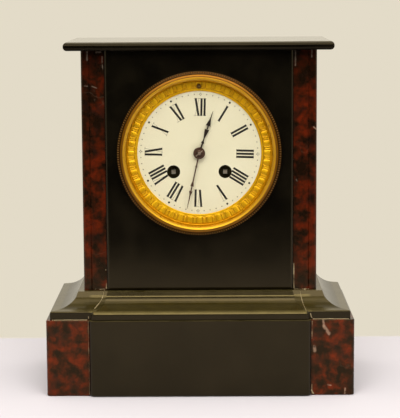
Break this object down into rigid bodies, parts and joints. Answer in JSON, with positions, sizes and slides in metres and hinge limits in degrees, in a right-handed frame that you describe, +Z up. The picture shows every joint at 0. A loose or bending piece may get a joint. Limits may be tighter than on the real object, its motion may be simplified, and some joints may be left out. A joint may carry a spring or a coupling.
{
  "type": "mantel clock",
  "caption": "Rectangular shelf clock in black slate and red marble, with a hinged gilt bezel, an enamel dial, a going and striking movement, a pendulum and a hinged back door.",
  "frame": {"origin": "middle of the bounding box in width and depth, at the level of the table", "axes": "+Z up, +X to the right of someone facing the dial, the dial faces -Y"},
  "size_m": [0.25, 0.1438, 0.286],
  "materials": {
    "slate": "polished black slate",
    "red_marble": "polished red marble",
    "gilt_brass": "gilt and lacquered",
    "brass": "grained brass",
    "bell_metal": "turned bell metal",
    "steel": "polished steel",
    "blued_steel": "blued steel",
    "enamel": "fired white enamel",
    "glass": "clear flat glass"
  },
  "bodies": {
    "case": {"base_front_panel": "slate", "base_end_left": "red_marble", "base_end_right": "red_marble", "base_side_left": "slate", "base_side_right": "slate", "base_back_panel": "slate", "moulding_slab": "slate", "front_panel": "slate", "pilaster_slip_left": "red_marble", "pilaster_slip_right": "red_marble", "corner_post_left": "red_marble", "corner_post_right": "red_marble", "side_slab_left": "slate", "side_slab_right": "slate", "back_panel": "slate", "top_slab": "slate", "bezel_frame": "gilt_brass", "sight_ring": "gilt_brass", "dial": "enamel", "bezel_hinge_pin": "steel", "front_plate": "brass", "back_plate": "brass", "back_cock": "brass", "bell": "bell_metal", "bell_stand": "brass", "back_ring": "brass", "back_hinge_pin": "steel", "case_screws": "steel"},
    "bezel": {"bezel_door": "gilt_brass", "bezel_glass": "glass"},
    "back_door": {"back_door": "brass"},
    "minute_hand": {"minute_hand": "blued_steel", "cannon_pinion": "brass", "hand_collet": "blued_steel"},
    "hour_hand": {"hour_hand": "blued_steel", "hour_wheel": "brass"},
    "minute_wheel": {"minute_wheel": "brass"},
    "centre_wheel": {"centre_wheel": "brass"},
    "intermediate_wheel": {"intermediate_wheel": "brass"},
    "going_barrel": {"going_barrel": "brass", "going_mainspring": "blued_steel"},
    "going_arbor": {"going_arbor": "steel"},
    "going_click": {"going_click": "steel"},
    "third_wheel": {"third_wheel": "brass"},
    "escape_wheel": {"escape_wheel": "brass"},
    "anchor": {"anchor": "steel"},
    "pendulum": {"pendulum_rod": "steel", "pendulum_bob": "brass", "suspension_spring": "blued_steel"},
    "regulator": {"regulator_arbor": "steel"},
    "pin_wheel": {"pin_wheel": "brass"},
    "strike_second_wheel": {"strike_second_wheel": "brass", "count_wheel": "brass"},
    "strike_barrel": {"strike_barrel": "brass", "strike_mainspring": "blued_steel"},
    "strike_arbor": {"strike_arbor": "steel"},
    "strike_click": {"strike_click": "steel"},
    "warning_wheel": {"warning_wheel": "brass"},
    "fly": {"fly": "brass"},
    "hammer": {"hammer": "steel"}
  },
  "joints": [
    {"name": "bezel_hinge", "type": "hinge", "parent": "case", "child": "bezel", "pos_m": [-0.0645, -0.0458, 0.196], "axis": [0, 0, -1], "range_deg": [0, 105]},
    {"name": "back_door_hinge", "type": "hinge", "parent": "case", "child": "back_door", "pos_m": [0.063, 0.0651, 0.196], "axis": [0, 0, -1], "range_deg": [0, 110]},
    {"name": "minute_hand_turn", "type": "hinge", "parent": "case", "child": "minute_hand", "pos_m": [0, -0.0468, 0.196], "axis": [0, 1, 0], "continuous": true},
    {"name": "hour_hand_turn", "type": "hinge", "parent": "case", "child": "hour_hand", "pos_m": [0, -0.0453, 0.196], "axis": [0, 1, 0], "continuous": true},
    {"name": "minute_wheel_turn", "type": "hinge", "parent": "case", "child": "minute_wheel", "pos_m": [0, -0.0381, 0.212], "axis": [0, 1, 0], "continuous": true},
    {"name": "centre_wheel_turn", "type": "hinge", "parent": "case", "child": "centre_wheel", "pos_m": [0, 0.0024, 0.196], "axis": [0, 1, 0], "continuous": true},
    {"name": "intermediate_wheel_turn", "type": "hinge", "parent": "case", "child": "intermediate_wheel", "pos_m": [0.01574, -0.0305, 0.20186], "axis": [0, 1, 0], "continuous": true},
    {"name": "going_barrel_turn", "type": "hinge", "parent": "case", "child": "going_barrel", "pos_m": [0.021, -0.0275, 0.1805], "axis": [0, 1, 0], "continuous": true},
    {"name": "going_winding", "type": "hinge", "parent": "case", "child": "going_arbor", "pos_m": [0.021, -0.0365, 0.1805], "axis": [0, 1, 0], "continuous": true},
    {"name": "going_click_lift", "type": "hinge", "parent": "case", "child": "going_click", "pos_m": [0.03322, -0.0365, 0.17605], "axis": [0, 1, 0], "range_deg": [0, 15], "stiffness_Nm_per_rad": 0.005},
    {"name": "third_wheel_turn", "type": "hinge", "parent": "case", "child": "third_wheel", "pos_m": [-0.00905, 0.0049, 0.2088], "axis": [0, 1, 0], "continuous": true},
    {"name": "escape_wheel_turn", "type": "hinge", "parent": "case", "child": "escape_wheel", "pos_m": [0, -0.002, 0.22], "axis": [0, 1, 0], "continuous": true},
    {"name": "pendulum_swing", "type": "hinge", "parent": "case", "child": "pendulum", "pos_m": [0, 0.023, 0.236], "axis": [0, 1, 0], "range_deg": [-3.5, 3.5]},
    {"name": "anchor_rock", "type": "hinge", "parent": "case", "child": "anchor", "pos_m": [0, -0.002, 0.236], "axis": [0, 1, 0], "range_deg": [-3.5, 3.5]},
    {"name": "regulator_turn", "type": "hinge", "parent": "case", "child": "regulator", "pos_m": [0, -0.0415, 0.25], "axis": [0, 1, 0], "continuous": true},
    {"name": "pin_wheel_turn", "type": "hinge", "parent": "case", "child": "pin_wheel", "pos_m": [-0.02237, 0.0024, 0.21809], "axis": [0, 1, 0], "continuous": true},
    {"name": "strike_second_wheel_turn", "type": "hinge", "parent": "case", "child": "strike_second_wheel", "pos_m": [-0.02852, -0.0305, 0.20117], "axis": [0, 1, 0], "continuous": true},
    {"name": "strike_barrel_turn", "type": "hinge", "parent": "case", "child": "strike_barrel", "pos_m": [-0.021, -0.0275, 0.1805], "axis": [0, 1, 0], "continuous": true},
    {"name": "strike_winding", "type": "hinge", "parent": "case", "child": "strike_arbor", "pos_m": [-0.021, -0.0365, 0.1805], "axis": [0, 1, 0], "continuous": true},
    {"name": "strike_click_lift", "type": "hinge", "parent": "case", "child": "strike_click", "pos_m": [-0.03322, -0.0365, 0.17605], "axis": [0, -1, 0], "range_deg": [0, 15], "stiffness_Nm_per_rad": 0.005},
    {"name": "warning_wheel_turn", "type": "hinge", "parent": "case", "child": "warning_wheel", "pos_m": [-0.01957, -0.012, 0.22852], "axis": [0, 1, 0], "continuous": true},
    {"name": "fly_turn", "type": "hinge", "parent": "case", "child": "fly", "pos_m": [-0.01126, -0.012, 0.23332], "axis": [0, 1, 0], "continuous": true},
    {"name": "hammer_lift", "type": "hinge", "parent": "case", "child": "hammer", "pos_m": [-0.0405, 0.0285, 0.2152], "axis": [0, 1, 0], "range_deg": [0, 20], "stiffness_Nm_per_rad": 0.05}
  ],
  "couplings": [
    {"joint": "minute_wheel_turn", "follows": "minute_hand_turn", "ratio": -0.33333},
    {"joint": "hour_hand_turn", "follows": "minute_hand_turn", "ratio": 0.083333},
    {"joint": "intermediate_wheel_turn", "follows": "centre_wheel_turn", "ratio": -0.16667},
    {"joint": "going_barrel_turn", "follows": "centre_wheel_turn", "ratio": 0.026316},
    {"joint": "third_wheel_turn", "follows": "centre_wheel_turn", "ratio": -11.25},
    {"joint": "escape_wheel_turn", "follows": "centre_wheel_turn", "ratio": 123.75},
    {"joint": "anchor_rock", "follows": "pendulum_swing", "ratio": 1},
    {"joint": "strike_second_wheel_turn", "follows": "pin_wheel_turn", "ratio": -0.11111},
    {"joint": "strike_barrel_turn", "follows": "pin_wheel_turn", "ratio": 0.017544},
    {"joint": "warning_wheel_turn", "follows": "pin_wheel_turn", "ratio": -8},
    {"joint": "fly_turn", "follows": "pin_wheel_turn", "ratio": 56}
  ]
}
